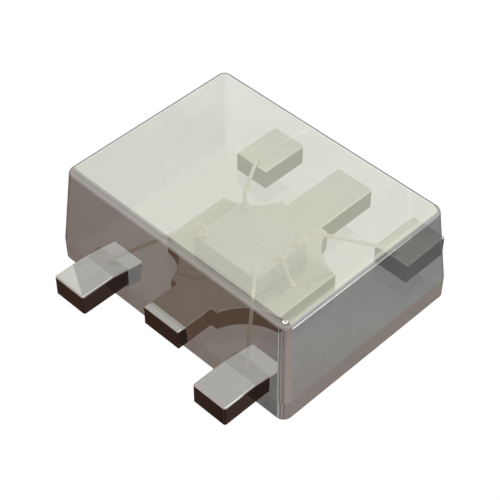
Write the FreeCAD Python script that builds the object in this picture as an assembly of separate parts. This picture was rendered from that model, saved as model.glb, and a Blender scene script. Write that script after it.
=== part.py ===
import FreeCAD, Part
import math
import os

# Ambient light sensor in a clear-moulded, flat-lead surface-mount package.
# Millimetres. The frame's origin is the centre of the solder plane, under the body.
# +Z points up out of the board, +X runs along the body's long side,
# and the terminals leave through the two long sides, towards -Y and +Y.

# Moulded body
body_height = 0.60
body_length = 1.590
body_width = 1.188
lower_draft = 0.002
upper_draft_ends = 0.042
upper_draft_sides = 0.042
corner_radius = 0.05
top_edge_radius = 0.04

# Lead frame, one sheet thick everywhere
frame_thickness = 0.12
terminal_pitch = 0.50
tip_span = 1.596
tip_corner_radius = 0.012

# Side terminals, one at each corner of the body, held in the resin by their inner ends
lead_width = 0.217
lead_hold = 0.095

# Die pad, with a terminal at the middle of each long side
pad_shift = -0.014
pad_length = 0.80
pad_side_length = 0.41
pad_neck_width = 0.326
pad_neck_span = 0.80
pad_scallop_radius = 0.275
pad_terminal_width = 0.243
cut_terminal_reach = 0.029

# Sensor chip and the adhesive under it
die_length = 0.44
die_width = 0.36
die_thickness = 0.10
attach_thickness = 0.012
attach_margin = 0.008

# Bond wires
wire_diameter = 0.02
wire_sides = 12
ball_diameter = 0.046
ball_height = 0.012
bond_inset = 0.036
wire_rise = 0.10
bend_radius = 0.030
longest_cut = 0.8
stitch_length = 0.040
stitch_width = 0.032
stitch_height = 0.008
heel_height = 0.012
ground_stitch_gap = 0.075

# Places that follow from the sizes above
parting_height = frame_thickness
tip_y = tip_span / 2
lead_inner_y = body_width / 2 - lead_hold
lead_length = tip_y - lead_inner_y
cut_terminal_y = body_width / 2 + cut_terminal_reach
die_seat_z = frame_thickness + attach_thickness
die_top_z = die_seat_z + die_thickness
die_edge_x = pad_shift + die_length / 2 + attach_margin

SIDES = {"left": -1, "right": 1}
ROWS = {"front": -1, "back": 1}
UP = FreeCAD.Vector(0, 0, 1)
SAME = 1e-6


def point(x, y, z=0.0):
    return FreeCAD.Vector(x, y, z)


def centred_box(length, width, height, x, y, z):
    return Part.makeBox(length, width, height, point(x - length / 2, y - width / 2, z))


def line_between(start, stop):
    return Part.LineSegment(start, stop).toShape()


def arc_between(start, stop, radius, towards):
    """Arc of the given radius between two points, bulging towards a third."""
    middle = (start + stop) / 2
    chord = stop - start
    aim = towards - middle
    across = (aim - chord * (aim.dot(chord) / chord.dot(chord))).normalize()
    rise = radius - math.sqrt(radius ** 2 - (chord.Length / 2) ** 2)
    return Part.Arc(start, middle + across * rise, stop).toShape()


def closed_wire(edges):
    return Part.Wire(Part.sortEdges(edges)[0])


def rounded_rectangle(length, width, radius, z):
    """Closed outline of four straight sides and four quarter arcs, centred on the Z axis."""
    half_x = length / 2
    half_y = width / 2
    flat_x = half_x - radius
    flat_y = half_y - radius
    edges = []
    for sx in SIDES.values():
        edges.append(line_between(point(sx * half_x, -flat_y, z), point(sx * half_x, flat_y, z)))
    for sy in ROWS.values():
        edges.append(line_between(point(-flat_x, sy * half_y, z), point(flat_x, sy * half_y, z)))
        for sx in SIDES.values():
            on_end = point(sx * half_x, sy * flat_y, z)
            on_side = point(sx * flat_x, sy * half_y, z)
            edges.append(arc_between(on_end, on_side, radius, point(sx * half_x, sy * half_y, z)))
    return closed_wire(edges)


def edges_at_height(shape, z):
    return [edge for edge in shape.Edges if all(abs(v.Z - z) < SAME for v in edge.Vertexes)]


def round_tip_corners(sheet_piece, y):
    """Round the upright edges of a sheet piece where its soldered tip ends."""
    corners = []
    for edge in sheet_piece.Edges:
        direction = edge.tangentAt(edge.FirstParameter)
        if abs(direction.z) > 1 - SAME and abs(edge.Vertexes[0].Y - y) < SAME:
            corners.append(edge)
    return sheet_piece.makeFillet(tip_corner_radius, corners)


def body_envelope():
    """Outer form of the moulding: a low band, a drafted upper part and a rounded top edge."""
    bottom = rounded_rectangle(body_length - 2 * lower_draft, body_width - 2 * lower_draft,
                               corner_radius - lower_draft, 0.0)
    parting = rounded_rectangle(body_length, body_width, corner_radius, parting_height)
    top = rounded_rectangle(body_length - 2 * upper_draft_ends, body_width - 2 * upper_draft_sides,
                            corner_radius, body_height)
    lower = Part.makeLoft([bottom, parting], True, True)
    upper = Part.makeLoft([parting, top], True, True)
    upper = upper.makeFillet(top_edge_radius, edges_at_height(upper, body_height))
    return lower.fuse(upper)


def side_lead(side, row):
    """A flat terminal: its outer end is soldered, its inner end is held in the resin."""
    middle_y = row * (lead_inner_y + tip_y) / 2
    blank = centred_box(lead_width, lead_length, frame_thickness, side * terminal_pitch, middle_y, 0.0)
    return round_tip_corners(blank, row * tip_y)


def pad_outline():
    """Wide pad with a scallop at each corner, a stepped neck and a terminal at each long side."""
    half_side = pad_side_length / 2
    half_span = pad_neck_span / 2
    terminal_y = {"front": cut_terminal_y, "back": tip_y}
    edges = []
    for side in SIDES.values():
        land_x = pad_shift + side * pad_length / 2
        neck_x = pad_shift + side * pad_neck_width / 2
        terminal_x = pad_shift + side * pad_terminal_width / 2
        edges.append(line_between(point(land_x, -half_side), point(land_x, half_side)))
        for name, row in ROWS.items():
            land_corner = point(land_x, row * half_side)
            neck_corner = point(neck_x, row * half_span)
            step_corner = point(terminal_x, row * half_span)
            tip_corner = point(terminal_x, row * terminal_y[name])
            edges.append(arc_between(land_corner, neck_corner, pad_scallop_radius, point(pad_shift, 0)))
            edges.append(line_between(neck_corner, step_corner))
            edges.append(line_between(step_corner, tip_corner))
            edges.append(line_between(tip_corner, point(pad_shift, row * terminal_y[name])))
    return closed_wire(edges)


def die_pad():
    """The pad under the chip. Its back terminal is full length, its front one is a cut tie bar."""
    plate = Part.Face(pad_outline()).extrude(UP * frame_thickness).removeSplitter()
    return round_tip_corners(plate, tip_y)


def die_attach():
    return centred_box(die_length + 2 * attach_margin, die_width + 2 * attach_margin,
                       attach_thickness, pad_shift, 0.0, frame_thickness)


def sensor_die():
    return centred_box(die_length, die_width, die_thickness, pad_shift, 0.0, die_seat_z)


def rounded_bend(before, corner, after):
    """Where the wire leaves one straight run and joins the next, and the arc between them."""
    coming = (corner - before).normalize()
    going = (after - corner).normalize()
    half_turn = math.tan(coming.getAngle(going) / 2)
    cut = min(bend_radius * half_turn, longest_cut * corner.distanceToPoint(before))
    start = corner - coming * cut
    stop = corner + going * cut
    return start, stop, arc_between(start, stop, cut / half_turn, corner)


def wire_path(start, stitch):
    """Up from the ball, round the shoulder, down to the heel and along the stitch."""
    heading = point(stitch.x - start.x, stitch.y - start.y).normalize()
    shoulder = point(start.x, start.y, die_top_z + wire_rise)
    toe = stitch + UP * heel_height
    heel = toe - heading * (stitch_length / 2)
    rise_end, fall_start, shoulder_arc = rounded_bend(start, shoulder, heel)
    fall_end, toe_start, heel_arc = rounded_bend(shoulder, heel, toe)
    return Part.Wire([line_between(start, rise_end), shoulder_arc, line_between(fall_start, fall_end),
                      heel_arc, line_between(toe_start, toe)])


def many_sided_section(centre, radius):
    """Section of a wire far too thin to show its sides: a level outline with equal sides."""
    turns = [2 * math.pi * step / wire_sides for step in range(wire_sides + 1)]
    return Part.makePolygon([centre + point(radius * math.cos(t), radius * math.sin(t)) for t in turns])


def bond_wire(bond, stitch):
    """One gold wire: a ball on the chip, a loop, and a flattened stitch on the metal."""
    ball = Part.makeCylinder(ball_diameter / 2, ball_height, bond)
    start = bond + UP * (ball_height / 2)
    path = wire_path(start, stitch)
    section = many_sided_section(start, wire_diameter / 2)
    loop = path.makePipeShell([section], True, True)
    tab = centred_box(stitch_length, stitch_width, stitch_height, stitch.x, stitch.y, stitch.z)
    tab.rotate(stitch, UP, math.degrees(math.atan2(stitch.y - bond.y, stitch.x - bond.x)))
    return ball.fuse([loop, tab]).removeSplitter()


def lead_wire(side, row):
    bond = point(pad_shift + side * (die_length / 2 - bond_inset), row * (die_width / 2 - bond_inset),
                 die_top_z)
    stitch = point(side * terminal_pitch, row * (lead_inner_y + lead_hold / 2), frame_thickness)
    return bond_wire(bond, stitch)


def ground_wire():
    """Ties the chip to the pad, just clear of the adhesive beside it."""
    bond = point(pad_shift + die_length / 2 - bond_inset, 0.0, die_top_z)
    return bond_wire(bond, point(die_edge_x + ground_stitch_gap, 0.0, frame_thickness))


def clear_body(held):
    """The resin fills everything inside the envelope that metal, chip and wires leave free."""
    return body_envelope().cut(held).removeSplitter()


def main():
    pieces = {"die_pad": die_pad(), "die_attach": die_attach(), "sensor_die": sensor_die()}
    for row_name, row in ROWS.items():
        for side_name, side in SIDES.items():
            pieces[row_name + "_" + side_name + "_lead"] = side_lead(side, row)
            pieces[row_name + "_" + side_name + "_wire"] = lead_wire(side, row)
    pieces["ground_wire"] = ground_wire()
    pieces["clear_body"] = clear_body(list(pieces.values()))
    os.makedirs("parts", exist_ok=True)
    for name, shape in pieces.items():
        print(name, "solids", len(shape.Solids), "valid", shape.isValid(), "mm3", round(shape.Volume, 6))
        shape.exportStep("parts/" + name + ".step")


main()
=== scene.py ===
# %% [markdown]
# # A light sensor in clear resin
#
# The object is a surface-mount light sensor, 1.6 mm long. A block of clear resin holds a scalloped metal
# pad, a silicon chip, bond wires and the inner ends of four flat terminals. The construction model already
# fixes where everything is, so this lesson only gives the pieces their surfaces: rounded edges that catch
# the light, a resin that mirrors and lets through at once, and plated metal.

# %% Load the fixed frame
import bmesh
import bpy
import math
from mathutils import Matrix, Vector


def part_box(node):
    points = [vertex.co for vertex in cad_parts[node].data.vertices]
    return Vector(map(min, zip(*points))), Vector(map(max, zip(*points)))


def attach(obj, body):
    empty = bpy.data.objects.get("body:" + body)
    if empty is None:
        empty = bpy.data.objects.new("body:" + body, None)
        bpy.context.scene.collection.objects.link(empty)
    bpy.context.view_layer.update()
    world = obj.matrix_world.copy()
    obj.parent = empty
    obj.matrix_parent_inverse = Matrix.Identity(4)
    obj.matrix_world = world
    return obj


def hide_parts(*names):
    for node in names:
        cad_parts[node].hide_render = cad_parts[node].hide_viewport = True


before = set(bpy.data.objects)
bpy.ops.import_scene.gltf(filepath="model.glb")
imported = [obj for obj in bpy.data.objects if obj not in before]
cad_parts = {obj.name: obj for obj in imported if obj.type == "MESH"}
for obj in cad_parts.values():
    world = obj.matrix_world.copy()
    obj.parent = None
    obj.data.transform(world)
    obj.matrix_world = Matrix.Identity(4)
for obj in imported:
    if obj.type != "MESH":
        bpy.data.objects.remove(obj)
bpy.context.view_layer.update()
print("nodes in the frame:", sorted(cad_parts))

# %% [markdown]
# Blender counts in metres and this object is made in fractions of a millimetre. One named factor turns
# the maker's millimetres into metres, and the corners of each solid come from the frame.

# %% Sizes that follow from the frame
MM = 0.001
body_low, body_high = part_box("clear_body")
pad_low, pad_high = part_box("die_pad")
chip_low, chip_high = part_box("sensor_die")
adhesive_low, adhesive_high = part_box("die_attach")
SIDES = {"left": -1, "right": 1}
ROWS = {"front": -1, "back": 1}
print("body in mm:", [round(size / MM, 3) for size in body_high - body_low])

# %% [markdown]
# The camera looks down on the object from the front right. It could be placed by eye, but its direction,
# distance and lens were solved from the corners of the body as photographed, so that edges fall on edges.
# The lens is long, and the edges of the block run nearly parallel.

# %% Camera
camera_azimuth = math.radians(44.70)
camera_elevation = math.radians(45.48)
camera_distance = 7.798 * MM
aim_right = -0.0117 * MM
aim_up = -0.095 * MM
lens_mm = 112.27
sensor_mm = 36.0
nearest_seen = 0.5 * MM
farthest_seen = 500 * MM


def make_camera():
    level = math.cos(camera_elevation)
    back = Vector((math.sin(camera_azimuth) * level, -math.cos(camera_azimuth) * level,
                   math.sin(camera_elevation)))
    right = Vector((math.cos(camera_azimuth), math.sin(camera_azimuth), 0.0))
    up = back.cross(right)
    data = bpy.data.cameras.new("camera")
    data.lens = lens_mm
    data.sensor_width = sensor_mm
    data.clip_start = nearest_seen
    data.clip_end = farthest_seen
    camera = bpy.data.objects.new("camera", data)
    bpy.context.scene.collection.objects.link(camera)
    middle = Vector((0.0, 0.0, (body_low.z + body_high.z) / 2))
    camera.location = middle + right * aim_right + up * aim_up + back * camera_distance
    camera.rotation_euler = Matrix((right, up, back)).transposed().to_euler()
    bpy.context.scene.camera = camera
    return camera


print("camera in mm:", [round(value / MM, 3) for value in make_camera().location])

# %% [markdown]
# Node trees could be drawn by hand in the editor. Built in code they can be read and changed line by line,
# and a few short helpers keep them short. Each adds one kind of node, sets or links its inputs, and gives
# back the socket that the next step needs.

# %% Helpers for node trees
def plug(tree, socket, value):
    """Link a socket to the input, or set the input to a value."""
    if isinstance(value, bpy.types.NodeSocket):
        tree.links.new(value, socket)
    else:
        socket.default_value = value


def add(tree, kind, settings=None, **inputs):
    """A new node with its settings and inputs. Spaces in an input's name are written as underscores."""
    node = tree.nodes.new(kind)
    for name, value in (settings or {}).items():
        setattr(node, name, value)
    for name, value in inputs.items():
        plug(tree, node.inputs[name.replace("_", " ")], value)
    return node


def calculate(tree, operation, *values):
    """One step of arithmetic, for numbers."""
    node = add(tree, "ShaderNodeMath", {"operation": operation})
    for socket, value in zip(node.inputs, values):
        plug(tree, socket, value)
    return node.outputs[0]


def calculate_vector(tree, operation, first, second=None):
    """One step of arithmetic, for vectors. To scale one, the second value is a number."""
    node = add(tree, "ShaderNodeVectorMath", {"operation": operation})
    plug(tree, node.inputs[0], first)
    if second is not None:
        plug(tree, node.inputs["Scale" if operation == "SCALE" else 1], second)
    return node.outputs["Vector"]


def components(tree, vector):
    return add(tree, "ShaderNodeSeparateXYZ", Vector=vector).outputs


def remap(tree, value, low, high, out_low=0.0, out_high=1.0):
    """Where the value is between low and high, the result goes from one end to the other."""
    node = add(tree, "ShaderNodeMapRange", Value=value, From_Min=low, From_Max=high,
               To_Min=out_low, To_Max=out_high)
    return node.outputs["Result"]


print("node helpers ready")

# %% [markdown]
# A Mix node has one set of sockets for numbers and another for colours, which only their places tell
# apart. The places are kept in one table, and a name for each kind hides them.

# %% Helpers for blending and for materials
# The places of the two inputs and of the result.
mix_sockets = {"FLOAT": (2, 3, 0), "RGBA": (6, 7, 2)}


def blend(tree, kind, amount, first, second):
    """Goes from the first value to the second as the amount goes from 0 to 1."""
    first_place, second_place, result_place = mix_sockets[kind]
    node = add(tree, "ShaderNodeMix", {"data_type": kind})
    plug(tree, node.inputs[0], amount)
    plug(tree, node.inputs[first_place], first)
    plug(tree, node.inputs[second_place], second)
    return node.outputs[result_place]


def blend_numbers(tree, amount, first, second):
    return blend(tree, "FLOAT", amount, first, second)


def blend_colours(tree, amount, first, second):
    return blend(tree, "RGBA", amount, first, second)


def new_material(name, **principled_inputs):
    """A material with an output and a Principled shader, which are its only nodes so far."""
    material = bpy.data.materials.new(name)
    material.use_nodes = True
    tree = material.node_tree
    tree.nodes.clear()
    output = tree.nodes.new("ShaderNodeOutputMaterial")
    shader = add(tree, "ShaderNodeBsdfPrincipled", **principled_inputs)
    tree.links.new(shader.outputs["BSDF"], output.inputs["Surface"])
    return material, tree, shader


print("blends for:", sorted(mix_sockets))

# %% [markdown]
# Polished things mirror what stands round them, so the room matters more here than lamps do. The lens
# itself sees only white paper. The room that is mirrored is made up. Behind the object it has a cream
# ceiling over grey walls and a pink and grey floor, with a curtain and a doorway to the left. In front it
# has sand-coloured walls with a lighter band, and a brown and rosy floor with dark and pale tables. A lamp
# hangs overhead.
#
# Panels and lamps could be modelled as objects. Bands of colour by direction give a mirror the same tones
# without any noise, and each band can be tuned by itself.

# %% Colours of the studio
paper_white = (1.0, 1.0, 1.0, 1.0)
overhead_white = (1.8, 1.8, 1.8, 1.0)
overhead_grey = (0.70, 0.70, 0.68, 1.0)
ceiling_cream = (1.02, 1.03, 0.86, 1.0)
curtain_white = (1.30, 1.30, 1.22, 1.0)
window_grey = (0.60, 0.60, 0.58, 1.0)
wall_grey = (0.40, 0.40, 0.40, 1.0)
doorway_grey = (0.28, 0.28, 0.28, 1.0)
floor_grey = (0.095, 0.100, 0.100, 1.0)
floor_pale = (0.190, 0.195, 0.190, 1.0)
floor_pink = (0.19, 0.145, 0.125, 1.0)
upper_sand = (0.39, 0.38, 0.335, 1.0)
lamp_sand = (0.475, 0.45, 0.41, 1.0)
lower_sand = (0.36, 0.325, 0.305, 1.0)
dusk_brown = (0.30, 0.26, 0.24, 1.0)
floor_brown = (0.135, 0.083, 0.061, 1.0)
table_dark = (0.02, 0.02, 0.02, 1.0)
table_pale = (0.34, 0.30, 0.28, 1.0)
floor_rose = (0.25, 0.172, 0.145, 1.0)
floor_dusk = (0.05, 0.02, 0.02, 1.0)
floor_umber = (0.14, 0.10, 0.09, 1.0)

# Each band is a height, from -1 straight down to 1 straight up, and the colour that the room has there.
overhead_bands = ((0.915, overhead_white), (0.975, overhead_white), (0.985, overhead_grey))
front_bands = ((-1.0, floor_brown), (-0.52, floor_brown), (-0.30, dusk_brown), (0.0, lower_sand),
               (0.26, lamp_sand), (0.42, lamp_sand), (0.56, upper_sand), (0.90, upper_sand)) + overhead_bands
back_bands = ((-1.0, floor_pink), (-0.70, floor_pink), (-0.66, floor_pale), (-0.59, floor_grey),
              (-0.47, wall_grey), (0.15, wall_grey), (0.36, window_grey), (0.55, ceiling_cream),
              (0.90, ceiling_cream)) + overhead_bands
far_bands = ((-1.0, floor_pink), (-0.70, floor_pink), (-0.55, doorway_grey), (0.10, doorway_grey),
             (0.28, window_grey), (0.40, curtain_white), (0.58, curtain_white), (0.66, ceiling_cream),
             (0.90, ceiling_cream)) + overhead_bands
# The floor in front changes from left to right, also from -1 to 1.
floor_bands = ((-1.0, floor_brown), (-0.46, floor_brown), (-0.43, table_dark), (-0.37, table_dark),
               (-0.30, table_pale), (-0.20, table_pale), (-0.02, table_dark), (0.12, table_dark),
               (0.20, floor_rose), (0.27, floor_rose), (0.36, floor_dusk), (0.58, floor_umber),
               (0.69, floor_rose))
print("bands:", len(front_bands), len(back_bands), len(far_bands), len(floor_bands))

# %% [markdown]
# The bands are colour ramps along one part of the mirrored direction, and masks choose between them: the
# floor in front, the far left and the back. One short strip of light, low at the back on the right, is a
# box of directions. It draws the white line along the block's right-hand upper edge.

# %% The studio round the object
floor_edge = (-0.52, -0.40)
far_edge = (-0.3, -0.1)
back_edge = (0.26, 0.44)
strip_white = (3.0, 3.0, 3.0, 1.0)
strip_box = {"X": (0.65, 0.80), "Y": (0.46, 0.56), "Z": (-0.56, -0.50)}
strip_border = 0.03


def banded(tree, level, bands):
    """Colours that follow one another along a direction, with soft borders between them."""
    ramp = add(tree, "ShaderNodeValToRGB", Fac=remap(tree, level, -1.0, 1.0))
    stops = ramp.color_ramp.elements
    stops.remove(stops[1])
    for index, (height, colour) in enumerate(bands):
        position = (height + 1) / 2
        stop = stops[0] if index == 0 else stops.new(position)
        stop.position = position
        stop.color = colour
    return ramp.outputs["Color"]


def strip_mask(tree, parts):
    """1 for the directions inside the strip's box, and 0 a little outside it."""
    mask = 1.0
    for axis, (low, high) in strip_box.items():
        rise = remap(tree, parts[axis], low - strip_border, low)
        fall = remap(tree, parts[axis], high, high + strip_border, 1.0, 0.0)
        mask = calculate(tree, "MULTIPLY", mask, calculate(tree, "MULTIPLY", rise, fall))
    return mask


def mirrored_room(tree):
    """The colour that the room has in each direction."""
    parts = components(tree, add(tree, "ShaderNodeTexCoord").outputs["Generated"])
    on_floor = remap(tree, parts["Z"], *floor_edge, 1.0, 0.0)
    front = blend_colours(tree, on_floor, banded(tree, parts["Z"], front_bands),
                          banded(tree, parts["X"], floor_bands))
    leftwards = remap(tree, parts["X"], *far_edge, 1.0, 0.0)
    back = blend_colours(tree, leftwards, banded(tree, parts["Z"], back_bands),
                         banded(tree, parts["Z"], far_bands))
    back = blend_colours(tree, strip_mask(tree, parts), back, strip_white)
    return blend_colours(tree, remap(tree, parts["Y"], *back_edge), front, back)


def make_studio():
    world = bpy.data.worlds.new("studio")
    bpy.context.scene.world = world
    world.use_nodes = True
    tree = world.node_tree
    tree.nodes.clear()
    room = add(tree, "ShaderNodeBackground", Color=mirrored_room(tree))
    paper = add(tree, "ShaderNodeBackground", Color=paper_white)
    seen = add(tree, "ShaderNodeLightPath").outputs["Is Camera Ray"]
    mixed = add(tree, "ShaderNodeMixShader", Fac=seen)
    tree.links.new(room.outputs[0], mixed.inputs[1])
    tree.links.new(paper.outputs[0], mixed.inputs[2])
    output = tree.nodes.new("ShaderNodeOutputWorld")
    tree.links.new(mixed.outputs[0], output.inputs["Surface"])
    bpy.context.scene.view_settings.view_transform = "Standard"
    return world


print("studio:", make_studio().name)

# %% [markdown]
# The floor is a sheet of white paper, lit so evenly that it throws no shadow. A lit plane could do that
# only with many lamps, so the paper gives off its own light. It lies a hair below the solder plane, and
# mirror rays pass it by, or the terminals' dark sides would turn white.

# %% Floor
floor_half_size = 60 * MM
floor_gap = 0.002 * MM
paper_shade = (0.02, 0.02, 0.02, 1.0)
paper_roughness = 0.9
floor_corners = ((-1, -1), (1, -1), (1, 1), (-1, 1))


def make_floor():
    mesh = bpy.data.meshes.new("floor")
    z = body_low.z - floor_gap
    mesh.from_pydata([(x * floor_half_size, y * floor_half_size, z) for x, y in floor_corners], [],
                     [(0, 1, 2, 3)])
    floor = bpy.data.objects.new("floor", mesh)
    bpy.context.scene.collection.objects.link(floor)
    paper = new_material("pale_paper", Base_Color=paper_shade, Roughness=paper_roughness,
                         Emission_Color=paper_white, Emission_Strength=1.0)[0]
    mesh.materials.append(paper)
    floor.visible_glossy = False
    return floor


print("floor at", round(make_floor().data.vertices[0].co.z / MM, 4), "mm")

# %% [markdown]
# Resin, metal, chip and adhesive all have a slight unevenness at their own scale. Each material could have
# its own noise, but one shader group keeps them short. It gives a cloudy mask between 0 and 1 from the
# object's own coordinates, and a normal roughened by it. Each material sets the size, the stretch along Y
# and the strength.

# %% Shared unevenness
uneven_inputs = {"Size": 0.1 * MM, "Stretch": 1.0, "Relief": 0.1}
cloud_detail = 4.0
cloud_range = (0.3, 0.7)
# The depth of the relief, as a share of the cloud's size.
relief_depth = 0.05


def make_unevenness():
    group = bpy.data.node_groups.new("unevenness", "ShaderNodeTree")
    for name, value in uneven_inputs.items():
        socket = group.interface.new_socket(name, in_out="INPUT", socket_type="NodeSocketFloat")
        socket.default_value = value
    group.interface.new_socket("Mask", in_out="OUTPUT", socket_type="NodeSocketFloat")
    group.interface.new_socket("Normal", in_out="OUTPUT", socket_type="NodeSocketVector")
    given = group.nodes.new("NodeGroupInput").outputs
    place = add(group, "ShaderNodeTexCoord").outputs["Object"]
    across = calculate(group, "DIVIDE", 1.0, given["Size"])
    along = calculate(group, "DIVIDE", across, given["Stretch"])
    scale = add(group, "ShaderNodeCombineXYZ", X=across, Y=along, Z=across).outputs["Vector"]
    scaled = calculate_vector(group, "MULTIPLY", place, scale)
    noise = add(group, "ShaderNodeTexNoise", Vector=scaled, Scale=1.0, Detail=cloud_detail)
    mask = remap(group, noise.outputs["Fac"], *cloud_range)
    depth = calculate(group, "MULTIPLY", given["Size"], relief_depth)
    bump = add(group, "ShaderNodeBump", Strength=given["Relief"], Distance=depth, Height=mask)
    result = group.nodes.new("NodeGroupOutput").inputs
    group.links.new(mask, result["Mask"])
    group.links.new(bump.outputs["Normal"], result["Normal"])
    return group


unevenness = make_unevenness()


def uneven(tree, size, stretch, relief):
    """The shared group placed in a material with its own values. Returns its mask and its normal."""
    node = tree.nodes.new("ShaderNodeGroup")
    node.node_tree = unevenness
    node.inputs["Size"].default_value = size
    node.inputs["Stretch"].default_value = stretch
    node.inputs["Relief"].default_value = relief
    return node.outputs["Mask"], node.outputs["Normal"]


print("shared group:", unevenness.name)

# %% [markdown]
# The resin does two things at once: it lets light through, and it mirrors the room. Its top passes about
# half of the light and its walls a quarter. The rounded upper edge passes more than the walls at the ends
# of the block and less along its sides. Where the eye meets a skin at a low angle, nearly all is mirrored.
#
# A glass shader could do this, but it would bend the view of the metal and need many more samples to come
# out clean. So each skin is a thin mirror here, and its alpha gives the share that passes. The surface's
# own direction tells top, edge and walls apart. A skin that is seen from inside has its own shares.

# %% Clear resin
resin_tint = (0.80, 0.80, 0.79, 1.0)
resin_tint_cloudy = (0.76, 0.76, 0.75, 1.0)
inner_tint = (0.32, 0.32, 0.30, 1.0)
resin_index = 1.5
resin_roughness = (0.0, 0.008)
resin_cloud = {"size": 0.12 * MM, "stretch": 2.0, "relief": 0.002}

# The share of light that each skin mirrors, seen from outside and from inside.
top_film = 0.47
side_film = 0.76
end_rim_film = 0.67
long_rim_film = 0.90
grazing_film = 0.95
inner_top_film = 0.55
inner_film = 0.52
inner_back_film = 0.40

# Where one share turns into the next, as parts of the surface's direction or as how it faces the eye.
long_side_turn = (0.2, 0.4)
rim_turn = (0.15, 0.5)
top_turn = (0.90, 0.985)
inner_turn = (-0.9, -0.5)
grazing_turn = (0.48, 0.85)
grazing_blend = 0.5


def outside_film(tree, parts):
    """The mirrored share of the skins that face the eye."""
    on_long_side = remap(tree, calculate(tree, "ABSOLUTE", parts["Y"]), *long_side_turn)
    rim_film = blend_numbers(tree, on_long_side, end_rim_film, long_rim_film)
    edge_film = blend_numbers(tree, remap(tree, parts["Z"], *rim_turn), side_film, rim_film)
    film = blend_numbers(tree, remap(tree, parts["Z"], *top_turn), edge_film, top_film)
    facing = add(tree, "ShaderNodeLayerWeight", Blend=grazing_blend).outputs["Facing"]
    return blend_numbers(tree, remap(tree, facing, *grazing_turn), film, grazing_film)


def inside_film(tree, parts):
    """The same for skins seen from inside the block, where the direction points into the resin."""
    wall_film = remap(tree, parts["Y"], *inner_turn, inner_back_film, inner_film)
    under_top = remap(tree, parts["Z"], *inner_turn, 1.0, 0.0)
    return blend_numbers(tree, under_top, wall_film, inner_top_film)


def make_resin():
    material, tree, shader = new_material("clear_resin", Metallic=1.0, IOR=resin_index)
    mask, normal = uneven(tree, **resin_cloud)
    inside = add(tree, "ShaderNodeNewGeometry").outputs["Backfacing"]
    outer_tint = blend_colours(tree, mask, resin_tint, resin_tint_cloudy)
    parts = components(tree, add(tree, "ShaderNodeTexCoord").outputs["Normal"])
    film = blend_numbers(tree, inside, outside_film(tree, parts), inside_film(tree, parts))
    plug(tree, shader.inputs["Base Color"], blend_colours(tree, inside, outer_tint, inner_tint))
    plug(tree, shader.inputs["Roughness"], remap(tree, mask, 0.0, 1.0, *resin_roughness))
    plug(tree, shader.inputs["Normal"], normal)
    plug(tree, shader.inputs["Alpha"], film)
    return material


clear_resin = make_resin()
print("the top passes", round(1 - top_film, 2), "and the sides", round(1 - side_film, 2))

# %% [markdown]
# The frame is stamped from one sheet and plated. Where the resin holds it, its faces are grey and glossy.
# Outside they are tinned, with a softer shine. The rolled upper edge is rubbed bright, and the sides were
# sheared and left bare, so they are dark and brown.
#
# These could be four materials on chosen faces. One material with masks follows the shape by itself: two
# masks read the surface's own direction, and one reads whether a point lies outside the resin's wall.

# %% Plated sheet metal
tin_bright = (0.73, 0.72, 0.75, 1.0)
tin_dull = (0.69, 0.68, 0.71, 1.0)
moulded_grey = (0.64, 0.63, 0.62, 1.0)
rubbed_white = (1.0, 1.0, 1.0, 1.0)
sheared_brown = (0.185, 0.145, 0.135, 1.0)
tin_border = 0.006 * MM
tinned_gloss = 0.42
moulded_gloss = 0.80
rubbed_gloss = 1.0
sheared_gloss = 1.0
rubbed_turn = (0.95, 0.99)
sheared_turn = (0.04, 0.12)
plating_roughness = (0.02, 0.05)
rolling_marks = {"size": 0.03 * MM, "stretch": 6.0, "relief": 0.003}


def make_plating():
    material, tree, shader = new_material("plated_metal")
    mask, normal = uneven(tree, **rolling_marks)
    place = components(tree, add(tree, "ShaderNodeTexCoord").outputs["Object"])
    outwards = calculate(tree, "ABSOLUTE", place["Y"])
    tinned = remap(tree, outwards, body_high.y - tin_border, body_high.y)
    tin = blend_colours(tree, mask, tin_bright, tin_dull)
    plating = blend_colours(tree, tinned, moulded_grey, tin)
    gloss = blend_numbers(tree, tinned, moulded_gloss, tinned_gloss)
    direction = components(tree, add(tree, "ShaderNodeTexCoord").outputs["Normal"])
    flatness = calculate(tree, "ABSOLUTE", direction["Z"])
    rubbed = remap(tree, flatness, *rubbed_turn, 1.0, 0.0)
    sheared = remap(tree, flatness, *sheared_turn, 1.0, 0.0)
    upper = blend_colours(tree, rubbed, plating, rubbed_white)
    upper_gloss = blend_numbers(tree, rubbed, gloss, rubbed_gloss)
    plug(tree, shader.inputs["Base Color"], blend_colours(tree, sheared, upper, sheared_brown))
    plug(tree, shader.inputs["Metallic"], blend_numbers(tree, sheared, upper_gloss, sheared_gloss))
    plug(tree, shader.inputs["Roughness"], remap(tree, mask, 0.0, 1.0, *plating_roughness))
    plug(tree, shader.inputs["Normal"], normal)
    return material


plated_metal = make_plating()
print("metal:", plated_metal.name)

# %% [markdown]
# The chip, its adhesive and the gold wires lie deep in the resin and show only faintly. They still get
# their own finishes: polished silicon, a greyish paste and drawn gold. The cloudy resin scatters light onto
# them from all sides. Tracing that would take a volume, so each finish gives off a little painted light of
# its own tone instead.

# %% Chip, adhesive and gold
painted_glow = 0.11
silicon_grey = (0.60, 0.60, 0.60, 1.0)
silicon_sawn = (0.57, 0.57, 0.57, 1.0)
cell_blue = (0.57, 0.59, 0.62, 1.0)
paste_grey = (0.55, 0.54, 0.51, 1.0)
paste_flake = (0.62, 0.61, 0.58, 1.0)
gold = (0.84, 0.81, 0.70, 1.0)
gold_worn = (0.80, 0.77, 0.66, 1.0)
silicon_cloud = {"size": 0.15 * MM, "stretch": 1.0, "relief": 0.002}
paste_grain = {"size": 0.008 * MM, "stretch": 1.0, "relief": 0.3}
drawing_marks = {"size": 0.05 * MM, "stretch": 3.0, "relief": 0.005}


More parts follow.
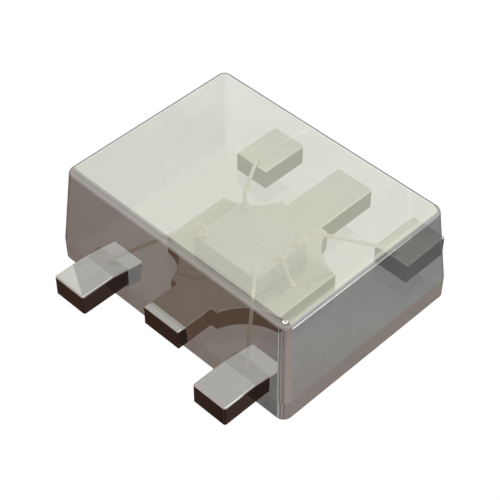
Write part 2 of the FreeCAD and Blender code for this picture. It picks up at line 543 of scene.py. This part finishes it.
def make_finish(name, tones, marks, metallic, roughness):
    """A two-tone uneven finish, for the small pieces inside, with a faint painted glow in its own tone."""
    # The emission is painted light: each piece glows faintly in its own tone, in place of light scattered by
    # the resin.
    material, tree, shader = new_material(name, Metallic=metallic, Emission_Strength=painted_glow)
    mask, normal = uneven(tree, **marks)
    tone = blend_colours(tree, mask, *tones)
    plug(tree, shader.inputs["Base Color"], tone)
    plug(tree, shader.inputs["Emission Color"], tone)
    plug(tree, shader.inputs["Roughness"], remap(tree, mask, 0.0, 1.0, *roughness))
    plug(tree, shader.inputs["Normal"], normal)
    return material


silicon = make_finish("silicon", tones=(silicon_grey, silicon_sawn), marks=silicon_cloud,
                      metallic=0.5, roughness=(0.25, 0.35))
cell_glaze = make_finish("cell_glaze", tones=(cell_blue, silicon_grey), marks=silicon_cloud,
                         metallic=0.5, roughness=(0.2, 0.3))
paste = make_finish("die_adhesive", tones=(paste_grey, paste_flake), marks=paste_grain,
                    metallic=0.0, roughness=(0.5, 0.8))
gold_metal = make_finish("gold", tones=(gold, gold_worn), marks=drawing_marks,
                         metallic=0.3, roughness=(0.2, 0.4))
print("inner finishes:", silicon.name, cell_glaze.name, paste.name, gold_metal.name)

# %% [markdown]
# Body, pad, terminals and adhesive are all stacks of closed outlines: the outline changes a little from
# level to level, and faces join each level to the next. Boxes with a Bevel modifier would come close, but
# a bevel knows one radius, and these pieces have drafts, rolled edges and scallops with sizes of their own.
#
# Smooth shading alone would bend the big flat faces near a rounded edge, which shows at once on a mirror.
# Weighted normals give a flat face its exact direction up to its border.

# %% Stacked outlines
crease_angle = math.radians(35)
area_weight = 100
enlargement = 100 / MM


def stack_outlines(name, rings, crisp_rings):
    """A closed mesh from rings of equally many points, lowest first, with weighted smooth normals."""
    shell = bmesh.new()
    levels = [[shell.verts.new(spot) for spot in ring] for ring in rings]
    count = len(rings[0])
    pairs = [(index, (index + 1) % count) for index in range(count)]
    for lower, upper in zip(levels, levels[1:]):
        for here, after in pairs:
            shell.faces.new((lower[here], lower[after], upper[after], upper[here]))
    shell.faces.new(list(reversed(levels[0])))
    shell.faces.new(levels[-1])
    shell.normal_update()
    for face in shell.faces:
        face.smooth = True
    for edge in shell.edges:
        if edge.calc_face_angle(0.0) > crease_angle:
            edge.smooth = False
    for level in crisp_rings:
        for here, after in pairs:
            shell.edges.get((levels[level][here], levels[level][after])).smooth = False
    mesh = bpy.data.meshes.new(name)
    shell.to_mesh(mesh)
    shell.free()
    return weigh_normals(name, mesh)


def weigh_normals(name, mesh):
    """The modifier takes nearly equal areas for equal, so the tiny mesh is enlarged while it works."""
    mesh.transform(Matrix.Scale(enlargement, 4))
    draft = bpy.data.objects.new(name, mesh)
    bpy.context.scene.collection.objects.link(draft)
    modifier = draft.modifiers.new("weigh", "WEIGHTED_NORMAL")
    modifier.keep_sharp = True
    modifier.weight = area_weight
    seen = draft.evaluated_get(bpy.context.evaluated_depsgraph_get())
    result = bpy.data.meshes.new_from_object(seen)
    bpy.data.objects.remove(draft)
    result.transform(Matrix.Scale(1 / enlargement, 4))
    result.name = name
    return result


def arc_points(centre, radius, start, stop, steps):
    """Points on an arc in the level plane, both ends included. Angles are in degrees."""
    turns = [math.radians(start + (stop - start) * step / steps) for step in range(steps + 1)]
    return [(centre[0] + radius * math.cos(turn), centre[1] + radius * math.sin(turn)) for turn in turns]


def rounded_ring(middle, reach_x, reach_y, radius, z, steps):
    """A level rounded rectangle. The reaches go from its middle to the centres of its corner arcs."""
    ring = []
    for turn, (sx, sy) in enumerate(((1, 1), (-1, 1), (-1, -1), (1, -1))):
        centre = (middle.x + sx * reach_x, middle.y + sy * reach_y)
        ring += arc_points(centre, radius, 90 * turn, 90 * turn + 90, steps)
    return [(x, y, z) for x, y in ring]


print("outline helpers ready")

# %% [markdown]
# A finished mesh becomes a piece of the object in three steps: it gets its material, it rides on the
# object's one body, and it stands for the solid of the frame that it replaces. One helper does all three.

# %% Placing a finished piece
def place_piece(name, mesh, material, slot_name, *nodes):
    """Put a mesh in the scene. Without a material it keeps the one that its tree gave it."""
    piece = bpy.data.objects.new(name, mesh)
    bpy.context.scene.collection.objects.link(piece)
    if material:
        mesh.materials.clear()
        mesh.materials.append(material)
    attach(piece, "root")
    if nodes:
        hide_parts(*nodes)
    return piece


# %% [markdown]
# The block is moulded in two halves. Below the parting line it has almost no draft, above it the walls
# lean in, and the upper edge is rounded. The rounding is a ring of small steps round a circle that touches
# both the wall and the top, so that the highlight along it has no break. The block casts no shadow, so that
# the pieces inside it are lit as through clear resin.

# %% Moulded block
parting_z = pad_high.z
lower_draft = 0.002 * MM
upper_draft = Vector((0.042, 0.042)) * MM
corner_radius = 0.05 * MM
top_edge_radius = 0.04 * MM
corner_steps = 12
edge_steps = 10
body_middle = (body_low + body_high) / 2
body_half = (body_high - body_low) / 2


def block_ring(inset_x, inset_y, radius, z):
    """A rounded rectangle, this far inside the body's widest outline."""
    return rounded_ring(body_middle, body_half.x - inset_x - radius, body_half.y - inset_y - radius,
                        radius, z, corner_steps)


def rounded_edge_inset(draft, turn):
    """How far inside the widest outline a wall's rounded top edge is, at this angle of its arc."""
    lean = draft / (body_high.z - parting_z)
    wall_at_centre = lean * (body_high.z - top_edge_radius - parting_z)
    centre = wall_at_centre + top_edge_radius * math.hypot(1.0, lean)
    return centre - top_edge_radius * math.cos(turn)


def make_block():
    rings = [block_ring(lower_draft, lower_draft, corner_radius - lower_draft, body_low.z),
             block_ring(0.0, 0.0, corner_radius, parting_z)]
    wall_turn = math.atan(upper_draft.y / (body_high.z - parting_z))
    for step in range(edge_steps + 1):
        turn = wall_turn + (math.pi / 2 - wall_turn) * step / edge_steps
        inset_x = rounded_edge_inset(upper_draft.x, turn)
        inset_y = rounded_edge_inset(upper_draft.y, turn)
        shrink = top_edge_radius * (math.cos(wall_turn) - math.cos(turn))
        z = body_high.z - top_edge_radius * (1 - math.sin(turn))
        rings.append(block_ring(inset_x, inset_y, corner_radius - shrink, z))
    return stack_outlines("resin_block", rings, [0, 1])


resin_block = place_piece("resin_block", make_block(), clear_resin, "clear_resin", "clear_body")
resin_block.visible_shadow = False
print("block:", len(resin_block.data.polygons), "faces")

# %% [markdown]
# Pad and terminals are cut from the same sheet. The punch leaves a tiny rolled edge round the upper face,
# which draws the thin white line along each terminal. A Bevel modifier would need those edges picked out.
# Here the outline is shifted inwards a little from level to level, and the roll follows every scallop.

# %% Sheet pieces with a rolled upper edge
rolled_edge = 0.008 * MM
rolled_steps = 4
# A shift at a very sharp corner is kept short, as if the corner were no sharper than this.
sharpest_corner = 0.2


def inset_outline(outline, distance):
    """The same closed outline, moved inwards by an equal distance along every side."""
    moved = []
    for index, spot in enumerate(outline):
        here = Vector(spot)
        before = (here - Vector(outline[index - 1])).normalized()
        after = (Vector(outline[(index + 1) % len(outline)]) - here).normalized()
        inward = Vector((-before.y - after.y, before.x + after.x))
        reach = distance / max(inward.length_squared / 2, sharpest_corner)
        moved.append(here + inward * reach)
    return moved


def make_sheet_piece(name, outline, low_z, high_z):
    """A piece of sheet from an anticlockwise outline, with a rolled edge round its upper face."""
    rings = [[(x, y, low_z) for x, y in outline]]
    for step in range(rolled_steps + 1):
        turn = math.pi / 2 * step / rolled_steps
        level = inset_outline(outline, rolled_edge * (1 - math.cos(turn)))
        z = high_z - rolled_edge * (1 - math.sin(turn))
        rings.append([(x, y, z) for x, y in level])
    return stack_outlines(name, rings, [0])


print("rolled edge in mm:", round(rolled_edge / MM, 4))

# %% [markdown]
# Each of the four terminals is a flat bar, square where the resin holds it and with rounded corners at its
# soldered tip. The outline is described once, for the back row. The front row is the same outline turned
# half round, so the points still run anticlockwise. A mirror copy would turn the faces inside out.

# %% Four side terminals
tip_corner_radius = 0.012 * MM
tip_corner_steps = 4


def terminal_outline(low, high, row):
    """A terminal seen from above."""
    middle = (low + high) / 2
    half = (high - low) / 2
    centre_x = half.x - tip_corner_radius
    centre_y = half.y - tip_corner_radius
    outline = [(-half.x, -half.y), (half.x, -half.y)]
    outline += arc_points((centre_x, centre_y), tip_corner_radius, 0, 90, tip_corner_steps)
    outline += arc_points((-centre_x, centre_y), tip_corner_radius, 90, 180, tip_corner_steps)
    return [(middle.x + row * x, middle.y + row * y) for x, y in outline]


for row_name, row in ROWS.items():
    for side_name in SIDES:
        node = row_name + "_" + side_name + "_lead"
        low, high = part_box(node)
        name = row_name + "_" + side_name + "_terminal"
        mesh = make_sheet_piece(name, terminal_outline(low, high, row), low.z, high.z)
        place_piece(name, mesh, plated_metal, "plated_frame", node)
        print(name, len(mesh.polygons), "faces")

# %% [markdown]
# The pad's outline is walked once round, anticlockwise. Each corner has a scallop, so that resin and metal
# interlock, then comes a short step and the terminal. Only its right half is described, once for the back
# and once for the front. The left half mirrors it, and front and back differ only in their terminals: the
# back one is a full terminal with a rounded tip, the front one is cut off square.

# %% Scalloped pad
pad_middle_x = (pad_low.x + pad_high.x) / 2
pad_half_length = (pad_high.x - pad_low.x) / 2
pad_half_side = 0.205 * MM
neck_half_width = 0.163 * MM
neck_half_span = 0.40 * MM
scallop_radius = 0.275 * MM
terminal_half_width = 0.1215 * MM
scallop_steps = 28


def scallop_points():
    """From the corner of the pad's straight end to the neck, hollow side outwards."""
    start = Vector((pad_half_length, pad_half_side))
    stop = Vector((neck_half_width, neck_half_span))
    chord = stop - start
    away = Vector((-chord.y, chord.x)).normalized()
    if away.dot(start) < 0:
        away = -away
    rise = math.sqrt(scallop_radius ** 2 - (chord.length / 2) ** 2)
    centre = (start + stop) / 2 + away * rise
    first = math.degrees(math.atan2(start.y - centre.y, start.x - centre.x))
    last = math.degrees(math.atan2(stop.y - centre.y, stop.x - centre.x))
    sweep = (last - first + 180) % 360 - 180
    return arc_points(centre, scallop_radius, first, first + sweep, scallop_steps)


def terminal_corner(tip_y, rounded):
    """The right-hand corner at the tip of a terminal."""
    if not rounded:
        return [(terminal_half_width, tip_y)]
    centre = (terminal_half_width - tip_corner_radius, tip_y - tip_corner_radius)
    return arc_points(centre, tip_corner_radius, 0, 90, tip_corner_steps)


def pad_outline():
    step = [(terminal_half_width, neck_half_span)]
    back_half = scallop_points() + step + terminal_corner(pad_high.y, True)
    front_half = scallop_points() + step + terminal_corner(-pad_low.y, False)
    outline = back_half + [(-x, y) for x, y in reversed(back_half)]
    outline += [(-x, -y) for x, y in front_half] + [(x, -y) for x, y in reversed(front_half)]
    return [(pad_middle_x + x, y) for x, y in outline]


pad_mesh = make_sheet_piece("scalloped_pad", pad_outline(), pad_low.z, pad_high.z)
place_piece("scalloped_pad", pad_mesh, plated_metal, "plated_frame", "die_pad")
print("pad:", len(pad_mesh.polygons), "faces")

# %% [markdown]
# The paste that holds the chip is squeezed out a little all round, so its edge bulges. It is a thin stack
# of outlines again, on a half circle this time. The chip itself was sawn from a wafer, so its plain solid
# in the frame is right as it is and only gets its finish.

# %% Adhesive and chip
paste_corner_radius = 0.02 * MM
paste_steps = 6


def make_paste():
    middle = (adhesive_low + adhesive_high) / 2
    half = (adhesive_high - adhesive_low) / 2
    reach_x = half.x - paste_corner_radius
    reach_y = half.y - paste_corner_radius
    rings = []
    for step in range(paste_steps + 1):
        turn = math.pi * (step / paste_steps - 0.5)
        radius = paste_corner_radius - half.z * (1 - math.cos(turn))
        z = middle.z + half.z * math.sin(turn)
        rings.append(rounded_ring(middle, reach_x, reach_y, radius, z, tip_corner_steps))
    return stack_outlines("adhesive_layer", rings, [])


place_piece("adhesive_layer", make_paste(), paste, "die_adhesive", "die_attach")
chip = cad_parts["sensor_die"]
chip.data.materials.clear()
chip.data.materials.append(silicon)
print("chip in mm:", [round(size / MM, 3) for size in chip_high - chip_low])

# %% [markdown]
# Wires and light cells follow rules, so Geometry Nodes make them. A tree keeps a rule with its sizes as
# named inputs, and the same tree then makes each wire from two points. The helpers here start a tree, end
# it, and run it once to keep the result as a plain mesh.

# %% Helpers for geometry trees
def new_tree(name, sockets):
    """An empty geometry tree with the given inputs. Returns the tree and its input sockets."""
    tree = bpy.data.node_groups.new(name, "GeometryNodeTree")
    for label, kind in sockets:
        tree.interface.new_socket(label, in_out="INPUT", socket_type=kind)
    tree.interface.new_socket("Geometry", in_out="OUTPUT", socket_type="NodeSocketGeometry")
    return tree, tree.nodes.new("NodeGroupInput").outputs


def finish_tree(tree, geometry, material):
    """The last steps of every tree: copies become real faces, and the material is set."""
    real = add(tree, "GeometryNodeRealizeInstances", Geometry=geometry)
    dressed = add(tree, "GeometryNodeSetMaterial", Geometry=real.outputs["Geometry"], Material=material)
    output = tree.nodes.new("NodeGroupOutput")
    tree.links.new(dressed.outputs["Geometry"], output.inputs["Geometry"])


def raised(tree, spot, height):
    """The same spot, this much higher."""
    lift = add(tree, "ShaderNodeCombineXYZ", Z=height).outputs["Vector"]
    return calculate_vector(tree, "ADD", spot, lift)


def grow(name, tree, values):
    """Run a tree with the given inputs once, and keep the result as a plain mesh."""
    draft = bpy.data.objects.new(name, bpy.data.meshes.new(name))
    bpy.context.scene.collection.objects.link(draft)
    modifier = draft.modifiers.new(tree.name, "NODES")
    modifier.node_group = tree
    for socket in tree.interface.items_tree:
        if socket.in_out == "INPUT":
            modifier[socket.identifier] = values[socket.name]
    seen = draft.evaluated_get(bpy.context.evaluated_depsgraph_get())
    mesh = bpy.data.meshes.new_from_object(seen)
    bpy.data.objects.remove(draft)
    mesh.name = name
    return mesh


print("tree helpers ready")

# %% [markdown]
# Five bond wires run from the chip, four to the terminals and one to the pad. They all follow one rule: a
# squashed ball, a short rise, a bend, a long straight fall, another bend and a flattened stitch. The path
# is a line with four corners, which a fillet then rounds. Ball and stitch are squashed spheres.

# %% Parts of a bond wire
bend_steps = 10
wire_segments = 16
ball_segments = 24
ball_rings = 12


def line_through(tree, corners):
    """A curve of straight runs through the given corners."""
    line = add(tree, "GeometryNodeCurvePrimitiveLine").outputs["Curve"]
    points = add(tree, "GeometryNodeResampleCurve", Curve=line, Count=len(corners)).outputs["Curve"]
    choice = add(tree, "GeometryNodeIndexSwitch", {"data_type": "VECTOR"})
    while len(choice.index_switch_items) < len(corners):
        choice.index_switch_items.new()
    plug(tree, choice.inputs["Index"], tree.nodes.new("GeometryNodeInputIndex").outputs["Index"])
    for order, spot in enumerate(corners):
        plug(tree, choice.inputs[str(order)], spot)
    bent = add(tree, "GeometryNodeSetPosition", Geometry=points, Position=choice.outputs["Output"])
    return bent.outputs["Geometry"]


def round_wire(tree, line, bend_radius, wire_radius):
    """A closed tube along the line, with its corners rounded."""
    path = add(tree, "GeometryNodeFilletCurve", {"mode": "POLY"}, Curve=line, Count=bend_steps,
               Radius=bend_radius, Limit_Radius=True).outputs["Curve"]
    section = add(tree, "GeometryNodeCurvePrimitiveCircle", Resolution=wire_segments, Radius=wire_radius)
    tube = add(tree, "GeometryNodeCurveToMesh", Curve=path, Profile_Curve=section.outputs["Curve"],
               Fill_Caps=True)
    return tube.outputs["Mesh"]


def squashed_ball(tree, place, half_x, half_y, half_z, turn=0.0):
    """A ball with these half sizes, turned about the upright axis."""
    ball = add(tree, "GeometryNodeMeshUVSphere", Segments=ball_segments, Rings=ball_rings, Radius=1.0)
    size = add(tree, "ShaderNodeCombineXYZ", X=half_x, Y=half_y, Z=half_z).outputs["Vector"]
    turned = add(tree, "ShaderNodeCombineXYZ", Z=turn).outputs["Vector"]
    shaped = add(tree, "GeometryNodeTransform", Geometry=ball.outputs["Mesh"], Translation=place,
                 Rotation=turned, Scale=size)
    return shaped.outputs["Geometry"]


print("a bend has", bend_steps, "steps")

# %% [markdown]
# The tree puts the parts together. A stitch could be given a direction of its own, but it always lies along
# its wire, so the tree works out the level direction from bond to stitch. The heel lies half a stitch back
# along it, and the stitch is turned to it.

# %% Tree for a bond wire
def make_wire_tree():
    lengths = ("Rise", "Heel Height", "Bend Radius", "Wire Radius", "Ball Radius", "Ball Height",
               "Stitch Length", "Stitch Width", "Stitch Height")
    sockets = [(name, "NodeSocketVector") for name in ("Bond", "Stitch")]
    sockets += [(name, "NodeSocketFloat") for name in lengths]
    tree, given = new_tree("bond_wire", sockets)
    whole_run = calculate_vector(tree, "SUBTRACT", given["Stitch"], given["Bond"])
    level_run = calculate_vector(tree, "MULTIPLY", whole_run, (1.0, 1.0, 0.0))
    heading = calculate_vector(tree, "NORMALIZE", level_run)
    half_ball = calculate(tree, "MULTIPLY", given["Ball Height"], 0.5)
    half_stitch = calculate(tree, "MULTIPLY", given["Stitch Length"], 0.5)
    half_width = calculate(tree, "MULTIPLY", given["Stitch Width"], 0.5)
    half_flat = calculate(tree, "MULTIPLY", given["Stitch Height"], 0.5)
    start = raised(tree, given["Bond"], half_ball)
    shoulder = raised(tree, given["Bond"], given["Rise"])
    toe = raised(tree, given["Stitch"], given["Heel Height"])
    heel = calculate_vector(tree, "SUBTRACT", toe, calculate_vector(tree, "SCALE", heading, half_stitch))
    line = line_through(tree, (start, shoulder, heel, toe))
    run = components(tree, heading)
    turn = calculate(tree, "ARCTAN2", run["Y"], run["X"])
    loop = round_wire(tree, line, given["Bend Radius"], given["Wire Radius"])
    ball = squashed_ball(tree, start, given["Ball Radius"], given["Ball Radius"], half_ball)
    stitch_middle = raised(tree, given["Stitch"], half_flat)
    stitch = squashed_ball(tree, stitch_middle, half_stitch, half_width, half_flat, turn)
    joined = tree.nodes.new("GeometryNodeJoinGeometry")
    for part in (loop, ball, stitch):
        tree.links.new(part, joined.inputs["Geometry"])
    smooth = add(tree, "GeometryNodeSetShadeSmooth", Geometry=joined.outputs["Geometry"])
    finish_tree(tree, smooth.outputs["Geometry"], gold_metal)
    return tree


wire_tree = make_wire_tree()
print("wire tree:", len(wire_tree.nodes), "nodes")

# %% [markdown]
# The same sizes as in the construction model give each wire its place: bonds a little inside the chip's
# corners, stitches in the middle of what the resin holds of each terminal. The fifth wire runs from the
# chip's right-hand side down to the pad, just past the adhesive. The ends could be plain numbers, but
# worked out from the boxes of chip and terminals they follow when a size changes.

# %% Bond wires
bond_inset = 0.036 * MM
lead_hold = 0.095 * MM
ground_stitch_gap = 0.075 * MM
wire_sizes = {"Rise": 0.10 * MM, "Heel Height": 0.012 * MM, "Bend Radius": 0.03 * MM,
              "Wire Radius": 0.01 * MM, "Ball Radius": 0.023 * MM, "Ball Height": 0.012 * MM,
              "Stitch Length": 0.04 * MM, "Stitch Width": 0.032 * MM, "Stitch Height": 0.008 * MM}


def make_wire(name, bond, stitch):
    mesh = grow(name, wire_tree, {"Bond": bond, "Stitch": stitch, **wire_sizes})
    return place_piece(name + "_loop", mesh, None, "gold_wire", name)


def corner_bond(side, row):
    x = (chip_high.x if side > 0 else chip_low.x) - side * bond_inset
    y = (chip_high.y if row > 0 else chip_low.y) - row * bond_inset
    return Vector((x, y, chip_high.z))


for row_name, row in ROWS.items():
    for side_name, side in SIDES.items():
        low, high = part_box(row_name + "_" + side_name + "_lead")
        stitch_y = (low.y + lead_hold / 2) if row > 0 else (high.y - lead_hold / 2)
        stitch = Vector(((low.x + high.x) / 2, stitch_y, high.z))
        wire = make_wire(row_name + "_" + side_name + "_wire", corner_bond(side, row), stitch)
        print(wire.name, len(wire.data.polygons), "faces")

ground_bond = Vector((chip_high.x - bond_inset, 0.0, chip_high.z))
ground_stitch = Vector((adhesive_high.x + ground_stitch_gap, 0.0, pad_high.z))
ground_wire = make_wire("ground_wire", ground_bond, ground_stitch)
print(ground_wire.name, len(ground_wire.data.polygons), "faces")

# %% [markdown]
# The chip's face is a field of small light cells. They are one cell repeated on a grid, so a second tree
# places them, and its last steps turn the copies into one mesh. A loop over copied cubes would give the
# same faces, but here the pitch, the size and the counts stay open to change.

# %% Light cells on the chip
cell_columns = 6
cell_rows = 4
cell_size = 0.036 * MM
cell_pitch = 0.044 * MM
cell_height = 0.001 * MM


def make_cell_tree():
    sockets = [("Middle", "NodeSocketVector"), ("Pitch", "NodeSocketFloat"), ("Size", "NodeSocketFloat"),
               ("Height", "NodeSocketFloat"), ("Columns", "NodeSocketInt"), ("Rows", "NodeSocketInt")]
    tree, given = new_tree("light_cells", sockets)
    width = calculate(tree, "MULTIPLY", given["Pitch"], calculate(tree, "SUBTRACT", given["Columns"], 1.0))
    depth = calculate(tree, "MULTIPLY", given["Pitch"], calculate(tree, "SUBTRACT", given["Rows"], 1.0))
    grid = add(tree, "GeometryNodeMeshGrid", Size_X=width, Size_Y=depth, Vertices_X=given["Columns"],
               Vertices_Y=given["Rows"])
    size = add(tree, "ShaderNodeCombineXYZ", X=given["Size"], Y=given["Size"], Z=given["Height"])
    cell = add(tree, "GeometryNodeMeshCube", Size=size.outputs["Vector"])
    copies = add(tree, "GeometryNodeInstanceOnPoints", Points=grid.outputs["Mesh"],
                 Instance=cell.outputs["Mesh"])
    half_height = calculate(tree, "MULTIPLY", given["Height"], 0.5)
    placed = add(tree, "GeometryNodeTransform", Geometry=copies.outputs["Instances"],
                 Translation=raised(tree, given["Middle"], half_height))
    finish_tree(tree, placed.outputs["Geometry"], cell_glaze)
    return tree


chip_middle = Vector(((chip_low.x + chip_high.x) / 2, 0.0, chip_high.z))
cell_mesh = grow("light_cells", make_cell_tree(),
                 {"Middle": chip_middle, "Pitch": cell_pitch, "Size": cell_size, "Height": cell_height,
                  "Columns": cell_columns, "Rows": cell_rows})
place_piece("light_cells", cell_mesh, None, "silicon")
print("cells:", cell_columns * cell_rows)
